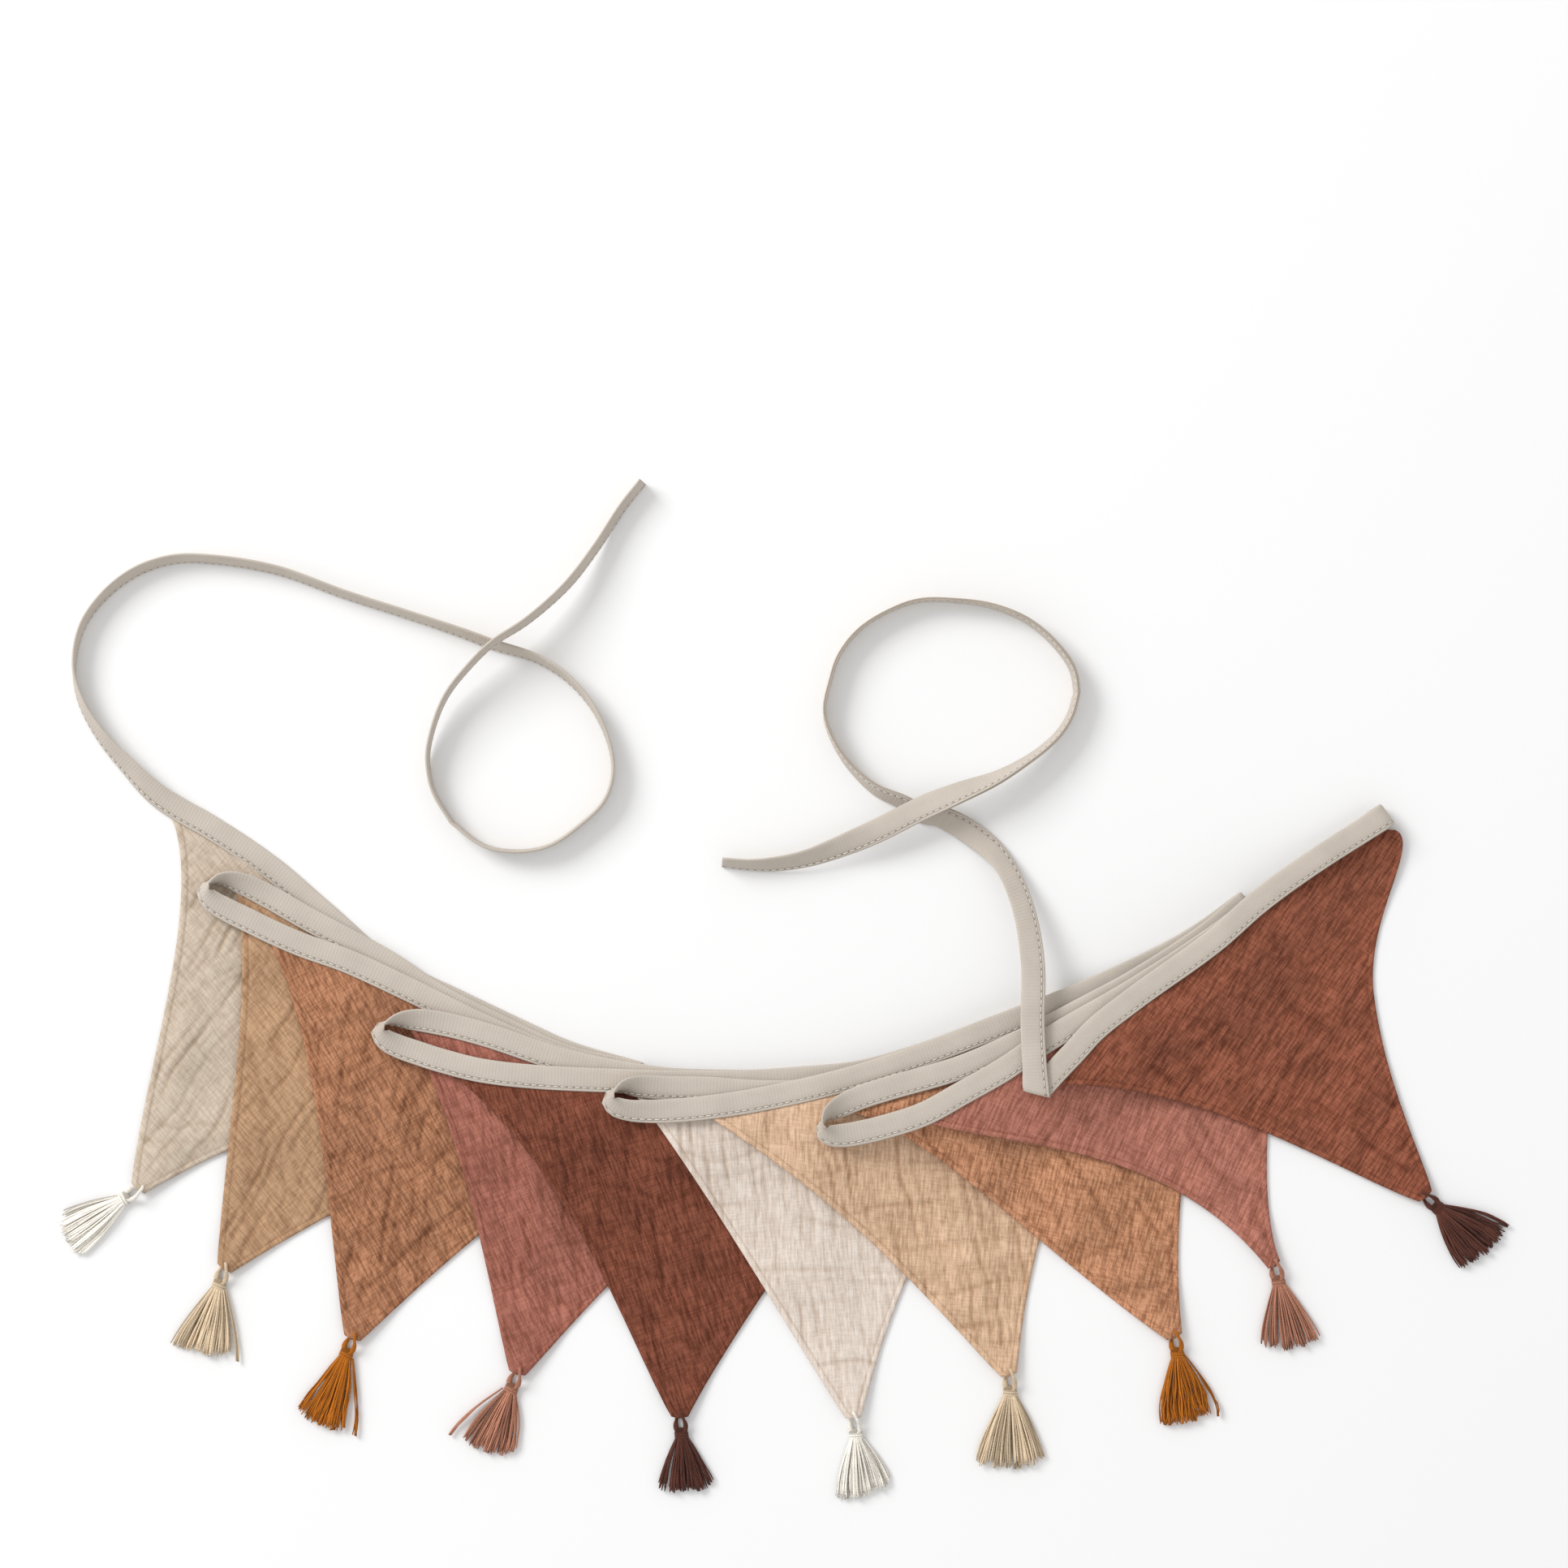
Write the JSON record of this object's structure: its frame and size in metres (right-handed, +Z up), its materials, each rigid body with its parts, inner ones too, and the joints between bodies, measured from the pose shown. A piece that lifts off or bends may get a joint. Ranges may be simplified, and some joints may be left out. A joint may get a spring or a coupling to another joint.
{
  "type": "fabric bunting",
  "caption": "Muslin pennant bunting with tassels and long ties on one folded tape, laid down in a zigzag of overlapping flags.",
  "frame": {"origin": "middle of the laid-out bunting's box, on the surface it lies on", "axes": "+X along its longest side, towards the end where the flat folds are; +Y away from the flags' tips, towards the ties; +Z up"},
  "size_m": [0.6628, 0.4662, 0.0259],
  "materials": {
    "tape": "matt unbleached cotton tape, folded and top-stitched along one edge",
    "cream": "matt crinkled double muslin, cream",
    "tan": "matt crinkled double muslin, tan",
    "terracotta": "matt crinkled double muslin, terracotta",
    "rose": "matt crinkled double muslin, rose",
    "brown": "matt crinkled double muslin, brown",
    "offwhite": "soft cotton yarn, offwhite",
    "khaki": "soft cotton yarn, khaki",
    "ochre": "soft cotton yarn, ochre",
    "dusty": "soft cotton yarn, dusty",
    "chocolate": "soft cotton yarn, chocolate"
  },
  "bodies": {
    "root": {"binding_tape": "tape", "flag_01_cream": "cream", "flag_02_tan": "tan", "flag_03_terracotta": "terracotta", "flag_04_rose": "rose", "flag_05_brown": "brown", "flag_06_cream": "cream", "flag_07_tan": "tan", "flag_08_terracotta": "terracotta", "flag_09_rose": "rose", "flag_10_brown": "brown", "tassel_01_offwhite": "offwhite", "tassel_02_khaki": "khaki", "tassel_03_ochre": "ochre", "tassel_04_dusty": "dusty", "tassel_05_chocolate": "chocolate", "tassel_06_offwhite": "offwhite", "tassel_07_khaki": "khaki", "tassel_08_ochre": "ochre", "tassel_09_dusty": "dusty", "tassel_10_chocolate": "chocolate"}
  },
  "joints": []
}
